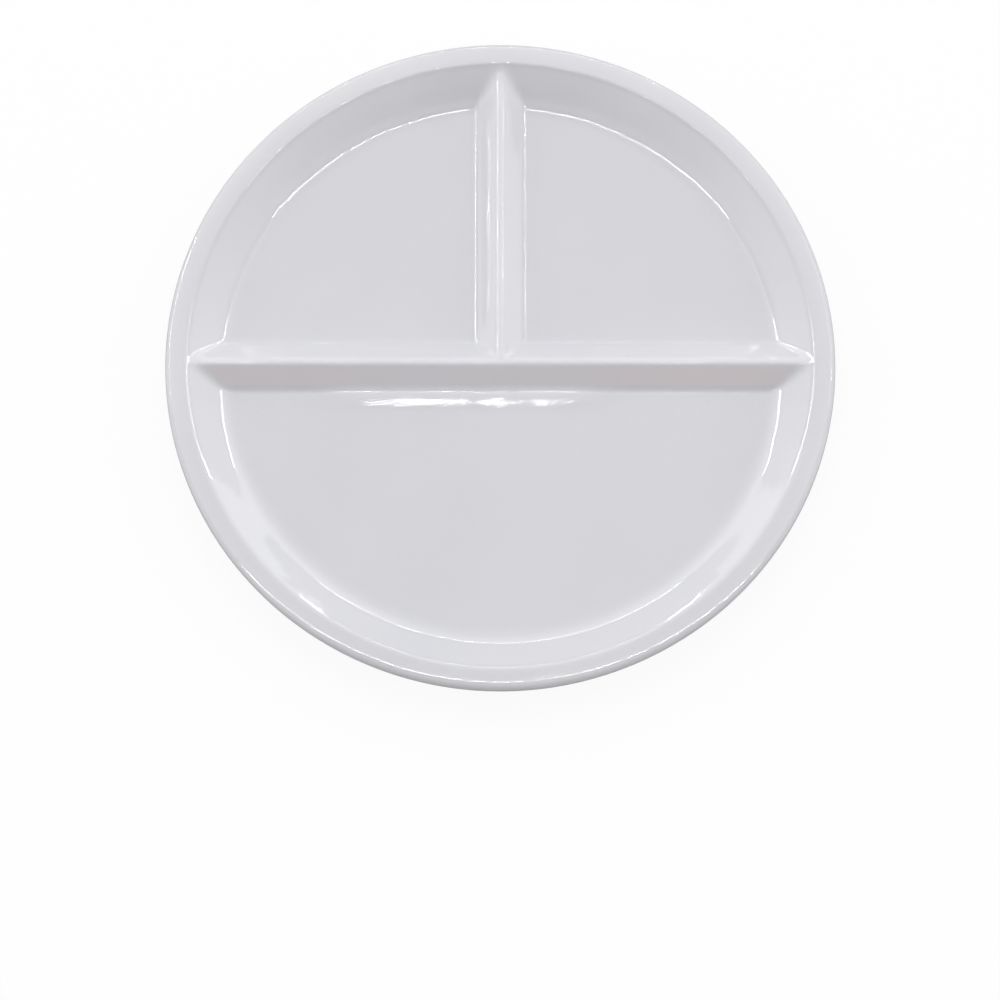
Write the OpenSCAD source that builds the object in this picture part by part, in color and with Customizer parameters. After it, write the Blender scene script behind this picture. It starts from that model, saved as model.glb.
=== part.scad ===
// Round plate with three compartments: a half and two quarters.
// One fired clay body, and the glaze fused over all of it but its standing face.
// Frame: the plate stands on z = 0, centred on the Z axis. The cross divider runs
// beside the X axis, the stem divider along +Y, and the large compartment lies towards -Y.

/* [Plate] */
// Diameter over the widest circle of the rim
plate_d = 254; // [220:1:290]
// Height from the table to the crest of the rim
plate_h = 19.8; // [18.5:0.1:22]
// Height of the compartment floors above the table
floor_h = 10.8; // [9.5:0.1:11.5]
// Thickness of the floor, glaze included
floor_t = 5; // [4:0.1:6]

/* [Wall and rim] */
// Slope of the inner wall above the horizontal
wall_angle = 32; // [29:0.5:38]
// Radius of the hollow between floor and wall
wall_fillet = 15; // [8:0.5:20]
// Width of the rim, from its crest out to the widest circle
rim_w = 7; // [5:0.1:9]
// Fall of the top of the rim, outwards
rim_fall = 7; // [3:0.5:12]
// Radius of the crest between wall and rim
crest_r = 3; // [1.5:0.1:4]
// Height of the upright edge of the rim, before it is rounded
lip_t = 4; // [3:0.1:5]
// Radius of the upper edge of the lip
lip_top_r = 2.1; // [0.8:0.1:2.4]
// Radius of the lower edge of the lip
lip_low_r = 1.2; // [0.5:0.1:1.6]
// Depth of the ledge under the lip
ledge_w = 3; // [2:0.1:5]
// Radius of the hollow between the ledge and the outer flank
ledge_r = 2.5; // [1:0.1:4]

/* [Flank and foot] */
// Distance from the widest circle in to the turn of the outer flank
flank_in = 11.2; // [8:0.1:16]
// Height of that turn
flank_h = 7.6; // [6:0.1:9]
// Radius of that turn
flank_r = 16; // [4:1:24]
// Distance from the widest circle in to the foot
foot_in = 26; // [22:0.5:34]
// Width of the standing face
foot_w = 8; // [5:0.5:12]
// Slope of the inner side of the foot
foot_angle = 65; // [45:1:80]
// Radius of the edges of the standing face
foot_edge_r = 1.5; // [0.5:0.1:2.5]
// Radius of the hollow between the foot and the underside
foot_fillet = 3; // [1:0.5:5]

/* [Dividers] */
// Distance from the middle of the plate back to the crest of the cross divider
cross_y = 1.5; // [0:0.1:3]
// Height of the divider crests above the floor
divider_h = 7.3; // [5:0.1:8.5]
// Slope of the divider sides
divider_angle = 42; // [38:0.5:50]
// Radius of the divider crests
divider_crest_r = 3; // [1.5:0.1:4]
// Radius of the hollow between floor and divider
divider_fillet = 5; // [3:0.5:9]
// Thickness of the clay that is folded up into a divider
divider_t = 5; // [4:0.1:6]
// Radius along the top of the channel under a divider
channel_top_r = 2; // [0.8:0.1:2.6]

/* [Glaze] */
// Thickness of the glaze
glaze_t = 0.3; // [0.2:0.05:0.5]
// Height of the line where the glaze stops, above the standing face
glaze_line = 1; // [0.6:0.1:1.5]

/* [Hidden] */
$fn = 96;
// Share of a side that one rounding may take up
fillet_share = 0.48;
// Turn of one step round an arc
arc_step = 6.5;
// Overrun of every cut, and depth to which a divider is sunk in floor and wall
overrun = 2;
plate_r = plate_d / 2;
crest_ring_r = plate_r - rim_w;
foot_r = plate_r - foot_in;
recess_h = floor_h - floor_t;

// Unit vector at an angle, and the vector a quarter turn to the right of another
function unit(angle) = [cos(angle), sin(angle)];
function right_of(v) = [v.y, -v.x];
function turn(a, b) = atan2(cross(a, b), a * b);

// Corner where a rounded edge of radius r would come to a point: the round tops out at
// [x, top], one side climbs to it at the slope up and the other falls at the slope down
function sharp_top(x, top, r, up, down) =
    [x, top - r] + r / cos((up + down) / 2) * unit(90 + (up - down) / 2);

// An outline is a list of corners [x, z, radius] with the clay on its right-hand side
function corner(o, i) = [o[i].x, o[i].y];
function way(o, i) = let (v = corner(o, i + 1) - corner(o, i)) v / norm(v);
function side_length(o, i) = norm(corner(o, i + 1) - corner(o, i));

// Radius at corner i, limited by the sides that meet there
function fitted_r(o, i) =
    let (half = abs(turn(way(o, i - 1), way(o, i))) / 2)
    min(o[i][2], fillet_share * min(side_length(o, i - 1), side_length(o, i)) / tan(half));

// Corner i once the two sides that meet there are moved into the clay, by e1 and e2
function inset_corner(o, i, e1, e2) =
    let (a = right_of(way(o, i - 1)), b = right_of(way(o, i)), c = cross(a, b))
    corner(o, i) + [e1 * b.y - e2 * a.y, e2 * a.x - e1 * b.x] / c;

// Points round corner i
function corner_arc(o, i, e1, e2) =
    let (
        a = way(o, i - 1),
        angle = turn(a, way(o, i)),
        hand = sign(angle),
        r = fitted_r(o, i) + hand * max(e1, e2),
        steps = ceil(abs(angle) / arc_step),
        start = inset_corner(o, i, e1, e2) - a * r * tan(abs(angle) / 2),
        spoke = right_of(a) * hand * r
    )
    [for (k = [0 : steps])
        let (t = angle * k / steps)
        start - spoke + [cos(t) * spoke.x - sin(t) * spoke.y,
                         sin(t) * spoke.x + cos(t) * spoke.y]];

// Points of a whole outline, each side moved into the clay by its own inset
function rounded(o, insets) =
    let (last = len(o) - 1)
    concat(
        [corner(o, 0) + insets[0] * right_of(way(o, 0))],
        [for (i = [1 : last - 1]) each corner_arc(o, i, insets[i - 1], insets[i])],
        [corner(o, last) + insets[last - 1] * right_of(way(o, last - 1))]
    );
function even(o, e) = [for (i = [1 : len(o) - 1]) e];

// Half section of the bowl: floor, wall, rim, lip, ledge, flank, foot and underside
rim_corner = sharp_top(crest_ring_r, plate_h, crest_r, wall_angle, rim_fall);
wall_foot_r = rim_corner.x - (rim_corner.y - floor_h) / tan(wall_angle);
lip_top_h = rim_corner.y - (plate_r - rim_corner.x) * tan(rim_fall);
lip_low_h = lip_top_h - lip_t;
foot_inner_r = foot_r - foot_w;
BOWL = [
    [0, floor_h, 0],
    [wall_foot_r, floor_h, wall_fillet],
    [rim_corner.x, rim_corner.y, crest_r],
    [plate_r, lip_top_h, lip_top_r],
    [plate_r, lip_low_h, lip_low_r],
    [plate_r - ledge_w, lip_low_h, ledge_r],
    [plate_r - flank_in, flank_h, flank_r],
    [foot_r, 0, foot_edge_r],
    [foot_inner_r, 0, foot_edge_r],
    [foot_inner_r - recess_h / tan(foot_angle), recess_h, foot_fillet],
    [0, recess_h, 0]
];
// The side of the outline that is the standing face
standing_side = 7;

// Section of a divider, standing on the floor
divider_top = sharp_top(0, floor_h + divider_h, divider_crest_r,
                        divider_angle, divider_angle);
divider_half = (divider_top.y - floor_h) / tan(divider_angle);
divider_reach = divider_half + divider_fillet;
DIVIDER = [
    [-divider_reach, floor_h, 0],
    [-divider_half, floor_h, divider_fillet],
    [0, divider_top.y, divider_crest_r],
    [divider_half, floor_h, divider_fillet],
    [divider_reach, floor_h, 0]
];

// Section of the channel under a divider, which keeps the clay of the divider even. It
// runs out through the foot and the flank, so that the divider of a plate below fits in
channel_top_h = divider_top.y - divider_t / cos(divider_angle);
channel_half = channel_top_h / tan(divider_angle);
CHANNEL = [
    [channel_half, 0, 0],
    [0, channel_top_h, channel_top_r],
    [-channel_half, 0, 0]
];

module bowl(e, e_foot) {
    insets = [for (i = [0 : len(BOWL) - 2]) i == standing_side ? e_foot : e];
    rotate_extrude() polygon(rounded(BOWL, insets));
}

// Space in which the dividers lie: it ends inside the clay of the floor and the wall
module divider_space(e) {
    low = floor_h - e - overrun;
    rotate_extrude() polygon([
        [0, low],
        [wall_foot_r + overrun, low],
        [rim_corner.x, rim_corner.y - overrun],
        [rim_corner.x, plate_h],
        [0, plate_h]
    ]);
}

// Bar along +X from the middle of the plate, or along both ways, with the given section
module bar(points, both) {
    start = both ? -plate_r : 0;
    translate([start, 0, 0])
        rotate([90, 0, 90])
            linear_extrude(plate_r - start) polygon(points);
}

module divider_bar(e, both) {
    top = rounded(DIVIDER, even(DIVIDER, e));
    low = floor_h - e - overrun;
    bar(concat(top, [[divider_reach, low], [-divider_reach, low]]), both);
}

module channel_bar(e, both) {
    roof = rounded(CHANNEL, even(CHANNEL, e));
    bar(concat(roof, [[roof[len(roof) - 1].x, -overrun], [roof[0].x, -overrun]]), both);
}

// The whole plate, its faces moved into the clay by e, and at the standing face by e_foot
module plate_form(e, e_foot) {
    difference() {
        union() {
            bowl(e, e_foot);
            intersection() {
                translate([0, cross_y, 0]) union() {
                    divider_bar(e, true);
                    rotate([0, 0, 90]) divider_bar(e, false);
                }
                divider_space(e);
            }
        }
        translate([0, cross_y, 0]) {
            channel_bar(e, true);
            rotate([0, 0, 90]) channel_bar(e, false);
        }
    }
}

module plate_body() {
    color("gainsboro") plate_form(glaze_t, 0);
}

module glaze() {
    color("white") difference() {
        plate_form(0, 0);
        plate_form(glaze_t, 0);
        translate([-plate_r, -plate_r, -overrun])
            cube([plate_d, plate_d, overrun + glaze_line]);
    }
}

plate_body();
glaze();
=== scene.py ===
"""Looks of the divided compartment plate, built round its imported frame.

The plate stands on z = 0, centred on the Z axis. The cross divider runs along X, 1.5 mm from
the middle towards +Y, the stem divider runs from it along +Y, and the large compartment lies
towards -Y. The plate's lengths are in millimetres until a mesh is written, which is in metres
as the frame is. Floor, lamps and camera are given in metres.
"""

import math
import random

import bmesh
import bpy
import numpy as np
from mathutils import Matrix, Vector


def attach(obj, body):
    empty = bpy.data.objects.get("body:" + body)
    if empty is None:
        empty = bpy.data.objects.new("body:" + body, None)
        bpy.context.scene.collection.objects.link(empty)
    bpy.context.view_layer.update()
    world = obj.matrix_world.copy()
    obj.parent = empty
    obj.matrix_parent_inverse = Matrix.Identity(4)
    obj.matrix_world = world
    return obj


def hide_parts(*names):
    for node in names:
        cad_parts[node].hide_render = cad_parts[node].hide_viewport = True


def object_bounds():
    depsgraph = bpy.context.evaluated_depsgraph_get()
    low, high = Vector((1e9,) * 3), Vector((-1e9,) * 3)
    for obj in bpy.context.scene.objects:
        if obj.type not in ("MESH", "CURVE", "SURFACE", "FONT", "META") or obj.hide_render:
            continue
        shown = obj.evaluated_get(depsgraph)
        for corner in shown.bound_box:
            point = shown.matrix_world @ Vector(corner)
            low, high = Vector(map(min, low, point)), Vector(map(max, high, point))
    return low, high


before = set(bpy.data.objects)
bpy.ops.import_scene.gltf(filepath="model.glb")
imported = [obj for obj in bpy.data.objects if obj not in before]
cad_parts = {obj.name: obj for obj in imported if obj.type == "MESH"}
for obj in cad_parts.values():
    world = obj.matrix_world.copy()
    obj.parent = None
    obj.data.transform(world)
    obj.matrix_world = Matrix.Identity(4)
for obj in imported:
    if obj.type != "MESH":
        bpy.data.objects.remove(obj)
cad_box = [list(corner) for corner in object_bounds()]

MM = 0.001
SEED = 7

# The plate's own sizes, as in its source
(low_x, _, _), (high_x, _, high_z) = cad_box
PLATE_R = (high_x - low_x) / 2 / MM
PLATE_H = round(high_z / MM, 1)
FLOOR_H = 10.8
FLOOR_T = 5.0
WALL_ANGLE = 32.0
WALL_FILLET = 15.0
RIM_W = 7.0
RIM_FALL = 7.0
CREST_R = 3.0
LIP_T = 4.0
LIP_TOP_R = 2.1
LIP_LOW_R = 1.2
LEDGE_W = 3.0
LEDGE_R = 2.5
FLANK_IN = 11.2
FLANK_H = 7.6
FLANK_R = 16.0
FOOT_IN = 26.0
FOOT_W = 8.0
FOOT_ANGLE = 65.0
FOOT_EDGE_R = 1.5
FOOT_FILLET = 3.0
CROSS_Y = 1.5
DIVIDER_H = 7.3
DIVIDER_ANGLE = 42.0
DIVIDER_CREST_R = 3.0
DIVIDER_FILLET = 5.0
DIVIDER_T = 5.0
CHANNEL_TOP_R = 2.0
GLAZE_LINE = 1.0
CREST_RING_R = PLATE_R - RIM_W
FILLET_SHARE = 0.48
# Turn of one step round an arc, in degrees
ARC_STEP = 0.5

# Thickness of the coat of glaze
COAT_T = 0.25
# Where the net of the underside ends on the flank, outside the channels
JOIN_R = 119.7
# The wall swells out a little between its cove and the crest
WALL_BOW = 0.10
BOW_FROM, BOW_TO = 107.0, 119.5
# A cove fills each valley between two dividers, or between a divider and the wall, to a
# quarter of its blend. It opens as the slopes rise by about VALLEY_RISE, and between two
# dividers it closes within VALLEY_FADE of their crests
VALLEY_BLEND = 3.6
VALLEY_RISE = 4.0
VALLEY_FADE = 3.0
# Towards the crest of a divider the blend with the wall changes to END_BLEND, late if END_TURN
# is large, and it closes within END_FADE of the crest of the rim
END_BLEND = 2.0
END_TURN = 3
END_FADE = 0.6
# Blend where the channels meet each other and the underside
MOUTH_BLEND = 0.6
# Heights are divided by no smaller blend than this
LEAST_BLEND = 0.001

# Slow unevenness of the pressed face: count, lengths and height of its waves
RIPPLE_WAVES = 9
RIPPLE_LENGTHS = (24, 60)
RIPPLE_DEPTH = 0.03

# The floor lies a little higher along the foot of the cross divider, in a low bank that falls
# to nothing between two distances before its crest. Each wave is (length, phase, height)
BANK_FROM, BANK_TO = 10.0, 18.5
BANK_H = 1.035
BANK_LEFT, BANK_RIGHT = -50.0, 24.0
BANK_EASE = 26.0
BANK_WAVES = ((33.0, 0.4, 0.03), (16.0, 2.1, 0.06), (7.3, 0.6, 0.03))

# A run of glaze stands a little proud on the left side of the stem divider
RUN_X = -5.0
RUN_W = 0.85
RUN_H = 0.84
RUN_FROM, RUN_TO = 14.0, 96.0
RUN_EASE = 12.0
RUN_SWAYS = ((37.0, 1.0, 0.35), (11.0, 0.3, 0.12))
RUN_BEADS = ((17.0, 0.0, 0.10), (7.3, 1.3, 0.10))

# The nets of the top and the underside. Turn from the middle of a side of a net to its corner
CORNER_TURN = math.pi / 4
# Within SHIFT_REACH lines follow the cross divider, and beyond ROUND_FROM rings are round
SHIFT_REACH = 60.0
ROUND_FROM = 95.0
# Lines beside a divider, as (distance from its crest, number of steps that lead to it), and
# rings at the foot of the wall and at the crest of the rim, as (radius, number of steps)
RIDGE_ROWS = ((2.0, 5), (3.6, 2), (6.4, 8), (7.4, 1), (11.3, 6), (18.5, 7))
RING_ROWS = ((88.2, 10), (93, 3), (100.4, 3), (108.4, 10), (118.3, 8), (CREST_RING_R, 4))
# From here on the rings of the underside are drawn in, so that the last is at JOIN_R
DRAW_IN_FROM = 108.4

# The strip round the edge has EDGE_STEPS steps. A step costs its length and its bend
EDGE_STEPS = 20
LENGTH_COST = 0.5
BEND_COST = 4.0
# Points this near to the plane of the glaze line count as lying in it, in metres
CUT_SNAP = 1e-6


# Outlines


def unit(angle):
    return np.array([math.cos(math.radians(angle)), math.sin(math.radians(angle))])


def tan(angle):
    return math.tan(math.radians(angle))


def sharp_top(x, top, radius, up, down):
    """Corner where a rounded edge would come to a point, as in the plate's source."""
    reach = radius / math.cos(math.radians((up + down) / 2))
    return np.array([x, top - radius]) + reach * unit(90 + (up - down) / 2)


def rounded(corners):
    """Points of an outline whose corners are [x, z, radius], with tangent arcs."""
    points = [np.array(corners[0][:2], float)]
    for before, here, after in zip(corners, corners[1:], corners[2:]):
        at = np.array(here[:2], float)
        a = at - np.array(before[:2], float)
        b = np.array(after[:2], float) - at
        length_a, length_b = np.linalg.norm(a), np.linalg.norm(b)
        a, b = a / length_a, b / length_b
        angle = math.atan2(a[0] * b[1] - a[1] * b[0], float(a @ b))
        half = math.tan(abs(angle) / 2)
        radius = min(here[2], FILLET_SHARE * min(length_a, length_b) / half)
        left = np.array([-a[1], a[0]]) * math.copysign(1, angle)
        centre = at - a * radius * half + left * radius
        spoke = -left * radius
        steps = max(1, math.ceil(math.degrees(abs(angle)) / ARC_STEP))
        for k in range(steps + 1):
            t = angle * k / steps
            points.append(centre + np.array([
                math.cos(t) * spoke[0] - math.sin(t) * spoke[1],
                math.sin(t) * spoke[0] + math.cos(t) * spoke[1],
            ]))
    points.append(np.array(corners[-1][:2], float))
    return np.array(points)


rim_x, rim_z = sharp_top(CREST_RING_R, PLATE_H, CREST_R, WALL_ANGLE, RIM_FALL)
wall_foot_r = rim_x - (rim_z - FLOOR_H) / tan(WALL_ANGLE)
lip_top_h = rim_z - (PLATE_R - rim_x) * tan(RIM_FALL)
lip_low_h = lip_top_h - LIP_T
foot_r = PLATE_R - FOOT_IN
foot_inner_r = foot_r - FOOT_W
recess_h = FLOOR_H - FLOOR_T
OUTLINE = rounded([
    [0, FLOOR_H, 0],
    [wall_foot_r, FLOOR_H, WALL_FILLET],
    [rim_x, rim_z, CREST_R],
    [PLATE_R, lip_top_h, LIP_TOP_R],
    [PLATE_R, lip_low_h, LIP_LOW_R],
    [PLATE_R - LEDGE_W, lip_low_h, LEDGE_R],
    [PLATE_R - FLANK_IN, FLANK_H, FLANK_R],
    [foot_r, 0, FOOT_EDGE_R],
    [foot_inner_r, 0, FOOT_EDGE_R],
    [foot_inner_r - recess_h / tan(FOOT_ANGLE), recess_h, FOOT_FILLET],
    [0, recess_h, 0],
])

divider_top = sharp_top(0, FLOOR_H + DIVIDER_H, DIVIDER_CREST_R, DIVIDER_ANGLE, DIVIDER_ANGLE)
divider_half = (divider_top[1] - FLOOR_H) / tan(DIVIDER_ANGLE)
divider_reach = divider_half + DIVIDER_FILLET
DIVIDER = rounded([
    [-divider_reach, FLOOR_H, 0],
    [-divider_half, FLOOR_H, DIVIDER_FILLET],
    [0, divider_top[1], DIVIDER_CREST_R],
    [divider_half, FLOOR_H, DIVIDER_FILLET],
    [divider_reach, FLOOR_H, 0],
])

# The sides of the channel run on below the plate
channel_top_h = divider_top[1] - DIVIDER_T / math.cos(math.radians(DIVIDER_ANGLE))
channel_half = (channel_top_h + PLATE_H) / tan(DIVIDER_ANGLE)
CHANNEL = rounded([
    [-channel_half, -PLATE_H, 0],
    [0, channel_top_h, CHANNEL_TOP_R],
    [channel_half, -PLATE_H, 0],
])

# The outline in three parts: the net of the top reaches the crest, the net of the underside
# reaches JOIN_R on the flank, and a strip round the edge joins the two
crest_at = int(np.argmax(OUTLINE[:, 1]))
join_at = next(
    k for k in range(crest_at, len(OUTLINE))
    if OUTLINE[k, 0] < JOIN_R and OUTLINE[k, 1] < lip_low_h)
join_share = (JOIN_R - OUTLINE[join_at, 0]) / (OUTLINE[join_at - 1, 0] - OUTLINE[join_at, 0])
join = OUTLINE[join_at] + join_share * (OUTLINE[join_at - 1] - OUTLINE[join_at])
TOP_LINE = OUTLINE[: crest_at + 1]
UNDER_LINE = np.vstack([join, OUTLINE[join_at:]])[::-1]
EDGE_LINE = np.vstack([OUTLINE[crest_at:join_at], join])


# Heights of the two faces


def ease(at):
    """Smooth step from 0 to 1."""
    at = np.clip(at, 0, 1)
    return at**2 * (3 - 2 * at)


def waves(at, rows):
    """Sum of the waves (length, phase, height) at the given places."""
    return sum(high * np.sin(2 * math.pi * at / long + phase) for long, phase, high in rows)


def along(line, x):
    """Height of a line of points at x."""
    return np.interp(x, line[:, 0], line[:, 1])


def wall_bow(r):
    """How far the wall swells out between its cove and the crest."""
    return WALL_BOW * np.sin(math.pi * np.clip((r - BOW_FROM) / (BOW_TO - BOW_FROM), 0, 1)) ** 2


def blend_up(a, b, k):
    """The higher of two heights, with a cove of depth k / 4 where they cross."""
    near = np.maximum(k - np.abs(a - b), 0)
    return np.maximum(a, b) + near**2 / (4 * np.maximum(k, LEAST_BLEND))


def junction(a, b):
    """Two dividers over the floor: the cove between them closes at their crests."""
    grown = 1 - np.exp(-(a + b) / VALLEY_RISE)
    below_crest = ease((DIVIDER_H - np.maximum(a, b)) / VALLEY_FADE)
    return blend_up(a, b, VALLEY_BLEND * grown * below_crest)


def wall_joint(wall, fold):
    """A divider runs into the wall: the cove between them closes below the rim."""
    level = np.clip(np.minimum(wall, fold) / DIVIDER_H, 0, 1)
    grown = 1 - np.exp(-(wall + fold) / VALLEY_RISE)
    below_rim = ease((PLATE_H - FLOOR_H - wall) / END_FADE)
    depth = VALLEY_BLEND + (END_BLEND - VALLEY_BLEND) * level**END_TURN
    return blend_up(wall, fold, grown * depth * below_rim)


def ripple(x, y):
    """Slow unevenness of the pressed and glazed face."""
    draw = random.Random(SEED)
    total = np.zeros_like(x)
    for _ in range(RIPPLE_WAVES):
        wave = draw.uniform(*RIPPLE_LENGTHS)
        way = draw.uniform(0, 2 * math.pi)
        phase = draw.uniform(0, 2 * math.pi)
        across = x * math.cos(way) + y * math.sin(way)
        total += np.sin(2 * math.pi * across / wave + phase)
    return total * RIPPLE_DEPTH / math.sqrt(RIPPLE_WAVES)


def bank(x, before):
    """Height of the bank at a distance before the crest of the cross divider."""
    fall = np.clip((before - BANK_FROM) / (BANK_TO - BANK_FROM), 0, 1)
    reach = ease((x - BANK_LEFT) / BANK_EASE + 1) * ease((BANK_RIGHT - x) / BANK_EASE + 1)
    return BANK_H * reach * (1 + waves(x, BANK_WAVES)) * (1 + np.cos(math.pi * fall)) / 2


def glaze_run(x, y):
    """Height of the run of glaze beside the stem."""
    centre = RUN_X + waves(y, RUN_SWAYS)
    reach = ease((y - RUN_FROM) / RUN_EASE) * ease((RUN_TO - y) / RUN_EASE)
    high = RUN_H * reach * (1 + waves(y, RUN_BEADS))
    return high * np.exp(-(((x - centre) / RUN_W) ** 2))


def top_height(x, y):
    """Height of the upper face of the coat. The ripple dies away towards the crest."""
    r = np.hypot(x, y)
    v = y - CROSS_Y
    bowl = along(TOP_LINE, r) + wall_bow(r) - FLOOR_H
    cross = along(DIVIDER, v) - FLOOR_H
    stem = along(DIVIDER, x) - FLOOR_H
    folds = np.where(v < 0, cross, junction(cross, stem))
    low = np.clip(1 - np.maximum(bowl, folds) / DIVIDER_H, 0, 1)
    folds = folds + low * np.where(v < 0, bank(x, -v), 0) + glaze_run(x, y)
    calm = np.clip((CREST_RING_R - r) / WALL_FILLET, 0, 1)
    return FLOOR_H + wall_joint(bowl, folds) + calm * ripple(x, y)


def under_height(x, y):
    """Height of the underside, with the channels under the dividers."""
    v = y - CROSS_Y
    bowl = along(UNDER_LINE, np.hypot(x, y))
    cross = along(CHANNEL, v)
    stem = along(CHANNEL, np.hypot(x, np.minimum(v, 0)))
    return blend_up(bowl, blend_up(cross, stem, MOUTH_BLEND), MOUTH_BLEND)


# The mesh of the coat


def steps(*marks):
    """Values from mark to mark: (value, number of even steps that lead to it), ..."""
    values = [0.0]
    for value, count in marks:
        values += list(np.linspace(values[-1], value, count + 1)[1:])
    return np.array(values)


NET = steps(*((y / CORNER_TURN, count) for y, count in RIDGE_ROWS), *RING_ROWS)
UNDER_NET = NET * (1 + (JOIN_R / CREST_RING_R - 1) * np.clip(
    (NET - DRAW_IN_FROM) / (CREST_RING_R - DRAW_IN_FROM), 0, 1))


def net(radii, height):
    """A square net laid on a disc, as an array of (2n + 1) x (2n + 1) points [x, y, z].

    Its lines run beside the dividers in the middle, and its rings round the wall outside.
    """
    n = len(radii) - 1
    index = np.arange(-n, n + 1)
    i, j = np.meshgrid(index, index, indexing="ij")
    ring = np.maximum(abs(i), abs(j))
    r = radii[ring]
    low = np.minimum(abs(i), abs(j))
    turn = CORNER_TURN * radii[low] / np.where(ring > 0, r, 1)
    along_x = abs(i) >= abs(j)
    near, far = r * np.cos(turn), r * np.sin(turn)
    x = np.sign(i) * np.where(along_x, near, far)
    y = np.sign(j) * np.where(along_x, far, near)
    # The lines beside the cross divider follow it, and the outer rings stay round
    shift = CROSS_Y * np.clip(1 - abs(y) / SHIFT_REACH, 0, 1)
    turned = np.sign(x) * np.sqrt(np.maximum(r**2 - (y + shift) ** 2, 0))
    x = x + ease((r - SHIFT_REACH) / (ROUND_FROM - SHIFT_REACH)) * (turned - x)
    y = y + shift
    return np.stack([x, y, height(x, y)], axis=-1)


def net_faces(n):
    """Faces of a net and, turned over, of the net that follows it.

    The first corner of a quad decides on which diagonal it is split. Round the two ends of
    the cross divider the diagonals mirror each other, and elsewhere they all run one way.
    """
    side = 2 * n + 1
    faces = []
    for i in range(side - 1):
        for j in range(side - 1):
            a, b = i * side + j, (i + 1) * side + j
            if abs(i - n + 0.5) > abs(j - n + 0.5) and (i < n) == (j < n):
                quad = (a, b, b + 1, a + 1)
            else:
                quad = (b, b + 1, a + 1, a)
            faces.append(quad)
            faces.append(tuple(side * side + k for k in reversed(quad)))
    return faces


def rim_walk(n):
    """Indices of the net's outermost ring, anticlockwise."""
    side = range(-n, n)
    walk = [(n, k) for k in side] + [(-k, n) for k in side]
    walk += [(-n, -k) for k in side] + [(k, -n) for k in side]
    return [(i + n, j + n) for i, j in walk]


def thin_out(line, count):
    """The line cut into count steps that are short where it bends."""
    step = np.diff(line, axis=0)
    length = np.hypot(step[:, 0], step[:, 1])
    heading = np.unwrap(np.arctan2(step[:, 1], step[:, 0]))
    bend = np.abs(np.diff(heading, prepend=heading[0]))
    cost = np.concatenate([[0], np.cumsum(length * LENGTH_COST + bend * BEND_COST)])
    at = np.linspace(0, cost[-1], count + 1)
    return np.stack([np.interp(at, cost, line[:, k]) for k in (0, 1)], axis=-1)


def edge_points(turn_top, turn_under):
    """Rings of points between the two nets, which turn from the one's places to the other's."""
    strip = thin_out(EDGE_LINE, EDGE_STEPS)
    rings = []
    for k, (r, z) in enumerate(strip[1:-1], 1):
        share = k / EDGE_STEPS
        angle = turn_top * (1 - share) + turn_under * share
        ring = [r * np.cos(angle), r * np.sin(angle), np.full_like(angle, z)]
        rings.append(np.stack(ring, axis=-1))
    return rings


def coat_mesh():
    """Outer face of the coat, closed: the top, the underside and the edge between them."""
    top = net(NET, top_height)
    under = net(UNDER_NET, under_height)
    n = len(NET) - 1
    side = 2 * n + 1
    walk = rim_walk(n)
    count = len(walk)
    turns = []
    for plane in (top, under):
        edge = np.array([plane[i, j, :2] for i, j in walk])
        turns.append(np.unwrap(np.arctan2(edge[:, 1], edge[:, 0])))
    rings = edge_points(*turns)
    upper = [i * side + j for i, j in walk]
    lower = [side * side + k for k in upper]
    first = 2 * side * side
    rows = [upper]
    rows += [range(first + k * count, first + (k + 1) * count) for k in range(len(rings))]
    rows.append(lower)
    faces = net_faces(n)
    for one, two in zip(rows, rows[1:]):
        for k in range(count):
            after = (k + 1) % count
            faces.append((one[k], two[k], two[after], one[after]))
    points = np.concatenate([top.reshape(-1, 3), under.reshape(-1, 3), *rings]) * MM
    mesh = bpy.data.meshes.new("glaze_coat")
    mesh.from_pydata(points.tolist(), [], faces)
    return mesh


def cut_at_glaze_line(mesh):
    """Leave out what lies below the line where the glaze stops."""
    bm = bmesh.new()
    bm.from_mesh(mesh)
    bmesh.ops.bisect_plane(
        bm,
        geom=[*bm.verts, *bm.edges, *bm.faces],
        dist=CUT_SNAP,
        plane_co=(0, 0, GLAZE_LINE * MM),
        plane_no=(0, 0, 1),
        clear_inner=True,
    )
    bmesh.ops.recalc_face_normals(bm, faces=bm.faces)
    bm.to_mesh(mesh)
    bm.free()


mesh = coat_mesh()
cut_at_glaze_line(mesh)
for face in mesh.polygons:
    face.use_smooth = True
glaze_coat = bpy.data.objects.new("glaze_coat", mesh)
bpy.context.scene.collection.objects.link(glaze_coat)
shell = glaze_coat.modifiers.new("coat thickness", "SOLIDIFY")
shell.thickness = COAT_T * MM
shell.offset = -1
shell.use_even_offset = False


# Materials

WHITE = (1.0, 1.0, 1.0)
# Sockets of a Mix node that mixes colours
MIX_A, MIX_B, MIX_RESULT = 6, 7, 2

# The glaze. A noise is (scale, detail) or (scale, detail, roughness), a bump is a height in
# metres, and a stop of a ramp is (place on the ramp, value there)
GLAZE_COOL = (0.755, 0.76, 0.785)
GLAZE_WHITE = (0.785, 0.785, 0.805)
GLAZE_STOPS = ((0.3, GLAZE_COOL), (0.7, GLAZE_WHITE))
CLOUD_NOISE = (22, 3)
# Painted shade: below this height the glaze is painted a little greyer, most on the floors
FLOOR_SHADE_TINT = (0.9, 0.9, 0.905)
FLOOR_SHADE_TOP = 12.5
# Towards the crest of the rim the glaze is painted a little darker, as painted shade
RIM_SHADE_TINT = (0.925, 0.925, 0.925)
RIM_SHADE_FROM = 18.4
GLAZE_IOR = 1.5
GLAZE_GLOSS_NOISE = (45, 2)
GLAZE_GLOSS_STOPS = ((0.35, 0.045), (0.75, 0.075))
SLOW_NOISE = (70, 2)
SLOW_BUMP = 0.00019
QUICK_NOISE = (190, 2)
QUICK_BUMP = 0.000024
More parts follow.
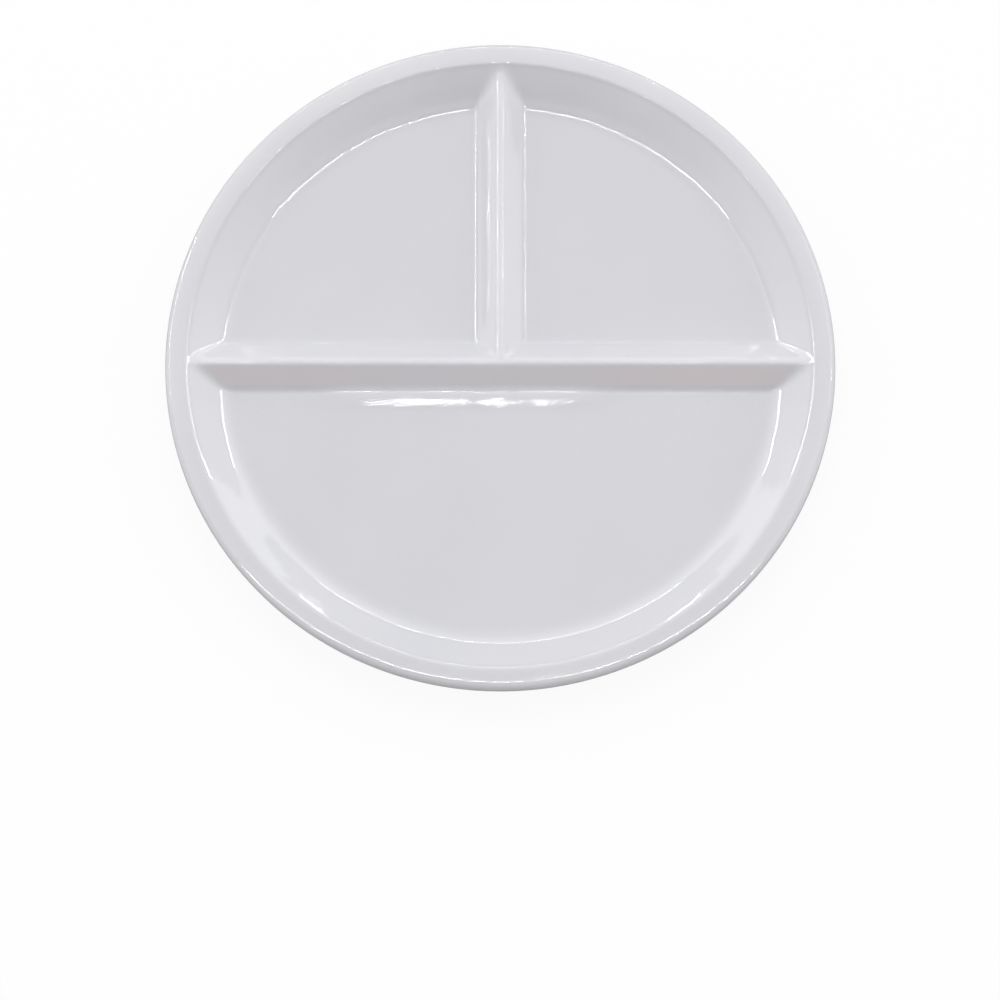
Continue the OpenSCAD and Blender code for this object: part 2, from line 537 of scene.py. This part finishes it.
# Orange peel, which is stronger in some places than in others
FINE_NOISE = (620, 2)
FINE_BUMP = 0.000018
PEEL_NOISE = (26, 1)
PEEL_STOPS = ((0.52, 0.2), (0.62, 1))
# It is strongest in a band before the cross divider, where it breaks up the glints
BAND_FROM, BAND_TO = -19.0, -7.0
BAND_STOPS = ((0, 0), (0.25, 1), (0.75, 1), (1, 0))
BAND_BUMP = 0.00005

# The bare clay of the standing face
CLAY_STOPS = ((0.3, (0.62, 0.58, 0.53)), (0.7, (0.72, 0.69, 0.64)))
CLAY_NOISE = (60, 4)
CLAY_IOR = 1.45
GRIT_NOISE = (2600, 3, 0.7)
GRIT_BUMP = 0.00006
RUB_NOISE = (240, 3)
CLAY_GLOSS_STOPS = ((0.35, 0.62), (0.7, 0.82))


class Nodes:
    """A material's or world's node tree, with short names for what is made again and again."""

    def __init__(self, owner):
        owner.use_nodes = True
        self.tree = owner.node_tree
        self.tree.nodes.clear()

    def add(self, kind, inputs=None, **values):
        node = self.tree.nodes.new("ShaderNode" + kind)
        for name, value in values.items():
            setattr(node, name, value)
        for name, value in (inputs or {}).items():
            self.put(node.inputs[name], value)
        return node

    def put(self, socket, value):
        """Link a socket to another, or give it a value. A colour has three parts."""
        if isinstance(value, bpy.types.NodeSocket):
            self.tree.links.new(value, socket)
        elif socket.type == "RGBA":
            socket.default_value = (*value, 1)
        else:
            socket.default_value = value

    def noise(self, where, scale, detail=2.0, roughness=0.5):
        return self.add("TexNoise", {
            "Vector": where, "Scale": scale, "Detail": detail,
            "Roughness": roughness}).outputs["Fac"]

    def ramp(self, value, *stops):
        """Colour ramp. A stop is (place, colour) or (place, level of grey)."""
        node = self.add("ValToRGB", {"Fac": value})
        elements = node.color_ramp.elements
        while len(elements) < len(stops):
            elements.new(1)
        for element, (at, value) in zip(elements, stops):
            colour = value if isinstance(value, tuple) else (value,) * 3
            element.position = at
            element.color = (*colour, 1)
        return node.outputs["Color"]

    def smooth(self, value, start, stop):
        """Smooth step of a value from 0 at start to 1 at stop."""
        node = self.add("MapRange", {
            "Value": value, "From Min": start, "From Max": stop},
            interpolation_type="SMOOTHSTEP")
        return node.outputs["Result"]

    def math(self, operation, a, b):
        node = self.add("Math", operation=operation)
        self.put(node.inputs[0], a)
        self.put(node.inputs[1], b)
        return node.outputs[0]

    def blend(self, share, a, b, kind="MIX"):
        """Colour a, changed by colour b to the given share."""
        node = self.add("Mix", data_type="RGBA", blend_type=kind)
        self.put(node.inputs["Factor"], share)
        self.put(node.inputs[MIX_A], a)
        self.put(node.inputs[MIX_B], b)
        return node.outputs[MIX_RESULT]

    def bump(self, height, distance, strength=1.0, normal=None):
        node = self.add("Bump", {
            "Height": height, "Distance": distance, "Strength": strength})
        if normal is not None:
            self.put(node.inputs["Normal"], normal)
        return node.outputs["Normal"]

    def one_or_other(self, share, first, second):
        """The first shader, and the second one for the given share."""
        node = self.add("MixShader", {"Fac": share})
        self.put(node.inputs[1], first.outputs[0])
        self.put(node.inputs[2], second.outputs[0])
        return node

    def surface(self, kind, shader):
        self.put(self.add(kind).inputs["Surface"], shader.outputs[0])


def white_glaze():
    material = bpy.data.materials.new("white_glaze")
    nodes = Nodes(material)
    where = nodes.add("TexCoord").outputs["Object"]
    cloud = nodes.noise(where, *CLOUD_NOISE)
    colour = nodes.ramp(cloud, *GLAZE_STOPS)
    place = nodes.add("SeparateXYZ", {"Vector": where}).outputs
    # Painted shade, darkening the floors
    floor_shade = nodes.smooth(place["Z"], FLOOR_SHADE_TOP * MM, FLOOR_H * MM)
    colour = nodes.blend(floor_shade, colour, FLOOR_SHADE_TINT, "MULTIPLY")
    # Painted shade towards the crest of the rim
    edge = nodes.smooth(place["Z"], RIM_SHADE_FROM * MM, PLATE_H * MM)
    colour = nodes.blend(edge, colour, RIM_SHADE_TINT, "MULTIPLY")
    gloss = nodes.ramp(nodes.noise(where, *GLAZE_GLOSS_NOISE), *GLAZE_GLOSS_STOPS)
    slow = nodes.noise(where, *SLOW_NOISE)
    quick = nodes.noise(where, *QUICK_NOISE)
    fine = nodes.noise(where, *FINE_NOISE)
    peel = nodes.ramp(nodes.noise(where, *PEEL_NOISE), *PEEL_STOPS)
    band = nodes.add("MapRange", {
        "Value": place["Y"], "From Min": BAND_FROM * MM, "From Max": BAND_TO * MM})
    crisp = nodes.ramp(band.outputs["Result"], *BAND_STOPS)
    normal = nodes.bump(slow, SLOW_BUMP)
    normal = nodes.bump(quick, QUICK_BUMP, normal=normal)
    normal = nodes.bump(fine, FINE_BUMP, peel, normal)
    normal = nodes.bump(fine, BAND_BUMP, crisp, normal)
    nodes.surface("OutputMaterial", nodes.add("BsdfPrincipled", {
        "Base Color": colour, "Roughness": gloss, "Normal": normal, "IOR": GLAZE_IOR}))
    return material


def bare_clay():
    material = bpy.data.materials.new("bare_clay")
    nodes = Nodes(material)
    where = nodes.add("TexCoord").outputs["Object"]
    cloud = nodes.noise(where, *CLAY_NOISE)
    colour = nodes.ramp(cloud, *CLAY_STOPS)
    grit = nodes.noise(where, *GRIT_NOISE)
    rub = nodes.noise(where, *RUB_NOISE)
    gloss = nodes.ramp(rub, *CLAY_GLOSS_STOPS)
    normal = nodes.bump(grit, GRIT_BUMP)
    nodes.surface("OutputMaterial", nodes.add("BsdfPrincipled", {
        "Base Color": colour, "Roughness": gloss, "Normal": normal, "IOR": CLAY_IOR}))
    return material


glaze_coat.data.materials.append(white_glaze())
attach(glaze_coat, "root")
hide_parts("glaze")
clay = bare_clay()
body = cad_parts["plate_body"]
for slot in body.material_slots:
    slot.material = clay


# Floor

FLOOR_HALF = 12.0
FLOOR_COLOUR = (0.6, 0.6, 0.6)
# To this share the camera sees the floor as an even white glow, and for the rest as it is
# lit, with the shadow of the plate
FLOOR_SEEN_WHITE = 0.86
FLOOR_SEEN_GLOW = 1.07


def studio_floor():
    half = FLOOR_HALF
    mesh = bpy.data.meshes.new("studio_floor")
    mesh.from_pydata(
        [(-half, -half, 0), (half, -half, 0), (half, half, 0), (-half, half, 0)],
        [], [(0, 1, 2, 3)])
    floor = bpy.data.objects.new("studio_floor", mesh)
    bpy.context.scene.collection.objects.link(floor)
    material = bpy.data.materials.new("studio_floor")
    nodes = Nodes(material)
    paths = nodes.add("LightPath")
    matt = nodes.add("BsdfDiffuse", {"Color": FLOOR_COLOUR})
    white = nodes.add("Emission", {"Color": WHITE, "Strength": FLOOR_SEEN_GLOW})
    share = nodes.math("MULTIPLY", paths.outputs["Is Camera Ray"], FLOOR_SEEN_WHITE)
    nodes.surface("OutputMaterial", nodes.one_or_other(share, matt, white))
    mesh.materials.append(material)


studio_floor()


# World

# Radiance of the room behind the plate and in front of it. The two blend along Y
BACK_SKY = (0.44, 0.44, 0.45)
FRONT_SKY = (0.05, 0.03, 0.025)
SKY_FROM, SKY_TO = -1.0, 0.0
# More light comes from the sides
SIDE_SKY = (1.05, 1.05, 1.08)
# The glaze also mirrors something warm, low in front of the plate
WARM_GLOW = (0.73, 0.22, 0.08)
WARM_FROM, WARM_TO = -0.8, -0.95
# What the glaze mirrors of the room is this many times as bright as what lights the plate
MIRRORED_SHARE = 1.3


def studio_world():
    """A pale room: bright at the sides, greyer behind, and dim in front."""
    world = bpy.data.worlds.new("studio_world")
    bpy.context.scene.world = world
    nodes = Nodes(world)
    paths = nodes.add("LightPath").outputs
    way = nodes.add("SeparateXYZ", {
        "Vector": nodes.add("TexCoord").outputs["Generated"]}).outputs
    colour = nodes.blend(nodes.smooth(way["Y"], SKY_FROM, SKY_TO), FRONT_SKY, BACK_SKY)
    beside = nodes.math("MULTIPLY", way["X"], way["X"])
    colour = nodes.blend(beside, colour, SIDE_SKY, "ADD")
    in_front = nodes.smooth(way["Y"], WARM_FROM, WARM_TO)
    warm = nodes.math("MULTIPLY", in_front, paths["Is Glossy Ray"])
    colour = nodes.blend(warm, colour, WARM_GLOW, "ADD")
    more = nodes.math("MULTIPLY", paths["Is Glossy Ray"], MIRRORED_SHARE - 1)
    level = nodes.math("ADD", 1.0, more)
    light = nodes.add("Background", {"Color": colour, "Strength": level})
    white = nodes.add("Background", {"Color": WHITE, "Strength": 1.0})
    nodes.surface("OutputWorld", nodes.one_or_other(paths["Is Camera Ray"], light, white))


studio_world()


# Lamps

# Two soft lamps light the plate from above and behind: (name, place, width, height, glow)
SOFT_LAMPS = (
    ("back_box", (0, 1.1, 1.5), 2.0, 1.4, 1.15),
    ("top_box", (0, 0, 1.9), 1.8, 1.8, 0.3),
)
# What the glaze mirrors is one large panel that leans over the plate from behind, with a
# narrow bright strip along each edge. Its top and low edges are given by their y and z
PANEL_HALF = 1.0
PANEL_TOP = (-0.23, 2.2)
PANEL_LOW = (0.97, 0.41)
PANEL_GLOW = 1.6
# The side strips lie between two shares of the way down the panel
SIDE_STRIP_FROM, SIDE_STRIP_TO = 0.44, 0.86
SIDE_STRIP_W = 0.048
SIDE_STRIP_GLOW = 48.0
# The top strip is longer than its edge, and the low strip is shorter
TOP_STRIP_L = 2.6
TOP_STRIP_W = 0.05
TOP_STRIP_GLOW = 66.0
LOW_STRIP_L = 1.05
LOW_STRIP_W = 0.03
LOW_STRIP_GLOW = 27.0


def lamp(name, place, aim, width, height, glow, mirrored=True, lights=True):
    """An area lamp of radiance glow, at place and turned to aim."""
    data = bpy.data.lights.new(name, "AREA")
    data.shape = "RECTANGLE"
    data.size, data.size_y = width, height
    data.energy = glow * math.pi * width * height
    obj = bpy.data.objects.new(name, data)
    bpy.context.scene.collection.objects.link(obj)
    way = Vector(aim) - Vector(place)
    turn = way.to_track_quat("-Z", "Y").to_matrix().to_4x4()
    obj.matrix_world = Matrix.Translation(place) @ turn
    obj.visible_camera = False
    obj.visible_glossy = mirrored
    obj.visible_diffuse = lights


def panel():
    """The panel and its strips, which are seen in the glaze and don't light the plate."""
    top, low = Vector((0, *PANEL_TOP)), Vector((0, *PANEL_LOW))
    rise = top - low
    facing = Vector((0, -rise.z, rise.y)).normalized()
    east = Vector((PANEL_HALF, 0, 0))
    beside = top - rise * (SIDE_STRIP_FROM + SIDE_STRIP_TO) / 2
    side_l = rise.length * (SIDE_STRIP_TO - SIDE_STRIP_FROM)
    for name, place, wide, high, glow in (
        ("panel", (top + low) / 2, 2 * PANEL_HALF, rise.length, PANEL_GLOW),
        ("strip_east", beside + east, SIDE_STRIP_W, side_l, SIDE_STRIP_GLOW),
        ("strip_west", beside - east, SIDE_STRIP_W, side_l, SIDE_STRIP_GLOW),
        ("strip_top", top, TOP_STRIP_L, TOP_STRIP_W, TOP_STRIP_GLOW),
        ("strip_low", low, LOW_STRIP_L, LOW_STRIP_W, LOW_STRIP_GLOW),
    ):
        lamp(name, place, place + facing, wide, high, glow, lights=False)


for name, place, wide, high, glow in SOFT_LAMPS:
    lamp(name, place, (0, 0, FLOOR_H * MM), wide, high, glow, mirrored=False)
panel()


# Camera

# The photograph's width in pixels, its pixels to a millimetre, and the pixel where the middle
# of the plate lies at the height of the rim
PICTURE = 1000
SCALE = 2.64
PLATE_AT = (500.3, 363.8)
CAMERA_ELEVATION = 75.0
CAMERA_DISTANCE = 4.5
CAMERA_CLIP = (0.1, 50)
SENSOR = 36.0

camera_data = bpy.data.cameras.new("photo_camera")
camera_data.sensor_width = SENSOR
camera_data.lens = SENSOR * SCALE * CAMERA_DISTANCE / MM / PICTURE
camera_data.clip_start, camera_data.clip_end = CAMERA_CLIP
camera = bpy.data.objects.new("photo_camera", camera_data)
bpy.context.scene.collection.objects.link(camera)
bpy.context.scene.camera = camera
elevation = math.radians(CAMERA_ELEVATION)
back = Vector((0, -math.cos(elevation), math.sin(elevation)))
up = Vector((0, math.sin(elevation), math.cos(elevation)))
aim = Vector((0, 0, PLATE_H * MM))
aim.x -= (PLATE_AT[0] - PICTURE / 2) / SCALE * MM
aim += up * ((PLATE_AT[1] - PICTURE / 2) / SCALE * MM)
camera.location = aim + back * CAMERA_DISTANCE
camera.rotation_mode = "QUATERNION"
camera.rotation_quaternion = (-back).to_track_quat("-Z", "Y")

bpy.context.scene.view_settings.view_transform = "Standard"
